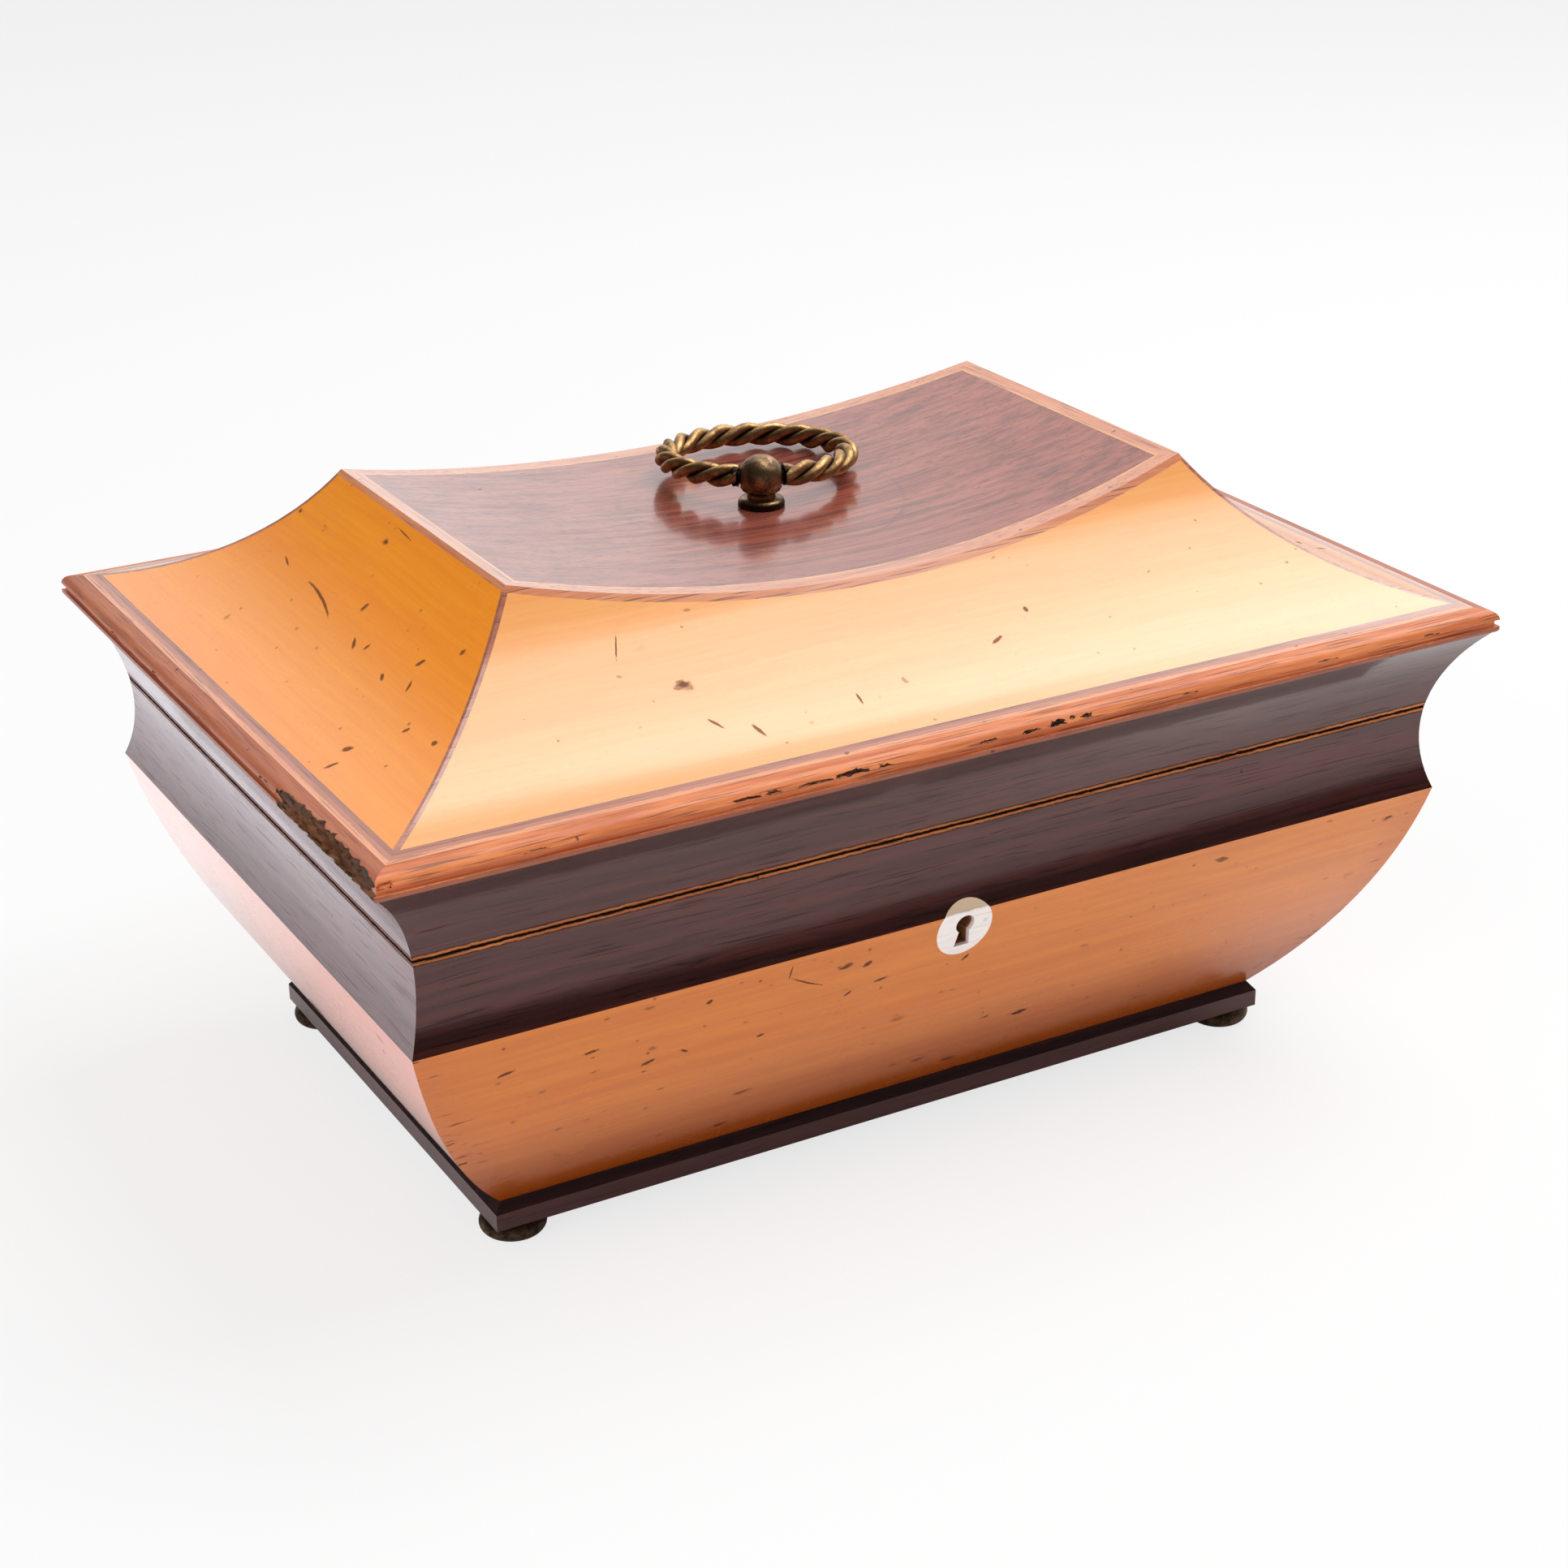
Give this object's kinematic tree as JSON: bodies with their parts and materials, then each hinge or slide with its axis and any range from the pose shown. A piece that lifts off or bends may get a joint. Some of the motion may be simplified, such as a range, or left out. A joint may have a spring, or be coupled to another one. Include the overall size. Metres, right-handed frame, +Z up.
{
  "type": "work box",
  "caption": "Mitred sarcophagus work box with a hinged coved lid, saddle top, ring handle, lock, lift-out tray, plinth and bun feet.",
  "frame": {"origin": "under the middle of the box, on the plane that its four feet stand on", "axes": "+X along the front to the viewer's right, +Y from the front to the hinged back, +Z up"},
  "size_m": [0.3, 0.2136, 0.1586],
  "materials": {
    "satinwood": "french-polished satinwood veneer, faded golden, with dents and scratches",
    "rosewood": "french-polished rosewood, dark brown with black and purple figure",
    "mahogany": "polished reddish mahogany, worn and nibbled at the edge",
    "tulipwood": "polished pinkish cross-banding",
    "boxwood": "pale boxwood line, aged",
    "purplewood": "thin reddish-brown string",
    "carcass": "old oiled mahogany and pine boards",
    "tray_wood": "thin cedar and mahogany, waxed",
    "bone": "polished bone, cream with faint lines",
    "old_brass": "dark lacquered brass with rubbed gold high spots",
    "brass": "satin brass, dulled",
    "steel": "filed steel, dark",
    "paper": "aged marbled lining paper",
    "silk": "faded padded silk",
    "velvet": "worn velvet"
  },
  "bodies": {
    "base": {"base_board_front": "carcass", "base_board_back": "carcass", "base_board_left": "carcass", "base_board_right": "carcass", "base_panel_front": "satinwood", "base_panel_back": "satinwood", "base_panel_left": "satinwood", "base_panel_right": "satinwood", "base_moulding_front": "rosewood", "base_moulding_back": "rosewood", "base_moulding_left": "rosewood", "base_moulding_right": "rosewood", "base_seam_line": "boxwood", "plinth_moulding": "rosewood", "bottom_board": "carcass", "bun_feet": "old_brass", "lining_paper": "paper", "tray_ledges": "tray_wood", "escutcheon": "bone", "lock_plate": "brass", "lock_case": "brass", "key_pin": "steel", "base_hinge_leaves": "brass", "hinge_pins": "steel", "base_screws": "brass"},
    "lid": {"lid_board_front": "carcass", "lid_board_back": "carcass", "lid_board_left": "carcass", "lid_board_right": "carcass", "lid_moulding_front": "rosewood", "lid_moulding_back": "rosewood", "lid_moulding_left": "rosewood", "lid_moulding_right": "rosewood", "cove_panel_front": "satinwood", "cove_panel_back": "satinwood", "cove_panel_left": "satinwood", "cove_panel_right": "satinwood", "lid_seam_line": "boxwood", "rim_edge": "mahogany", "rim_line": "tulipwood", "rim_string": "purplewood", "hip_strings": "purplewood", "top_board": "carcass", "top_panel": "rosewood", "top_banding": "tulipwood", "top_line": "boxwood", "pad_board": "carcass", "silk_pad": "silk", "link_plate": "brass", "lid_hinge_leaves": "brass", "lid_screws": "brass"},
    "bolt": {"lock_bolt": "steel"},
    "handle": {"handle_post": "old_brass", "handle_nut": "brass"},
    "ring": {"ring_handle": "old_brass"},
    "tray": {"tray_bottom": "tray_wood", "tray_sides": "tray_wood", "tray_dividers": "tray_wood", "pincushion": "velvet"}
  },
  "joints": [
    {"name": "lid_hinge", "type": "hinge", "parent": "base", "child": "lid", "pos_m": [0, 0.09639, 0.095], "axis": [-1, 0, 0], "range_deg": [0, 100]},
    {"name": "tray_lift", "type": "slide", "parent": "base", "child": "tray", "axis": [0, 0, 1], "range_m": [0, 0.0254]},
    {"name": "bolt_throw", "type": "slide", "parent": "base", "child": "bolt", "axis": [1, 0, 0], "range_m": [0, 0.005]},
    {"name": "handle_swivel", "type": "hinge", "parent": "lid", "child": "handle", "pos_m": [0, 0, 0.153], "axis": [0, 0, 1], "range_deg": [0, 52]},
    {"name": "ring_fold", "type": "hinge", "parent": "handle", "child": "ring", "pos_m": [0, 0, 0.153], "axis": [0.8988, -0.4384, 0], "range_deg": [0, 188.1]}
  ]
}
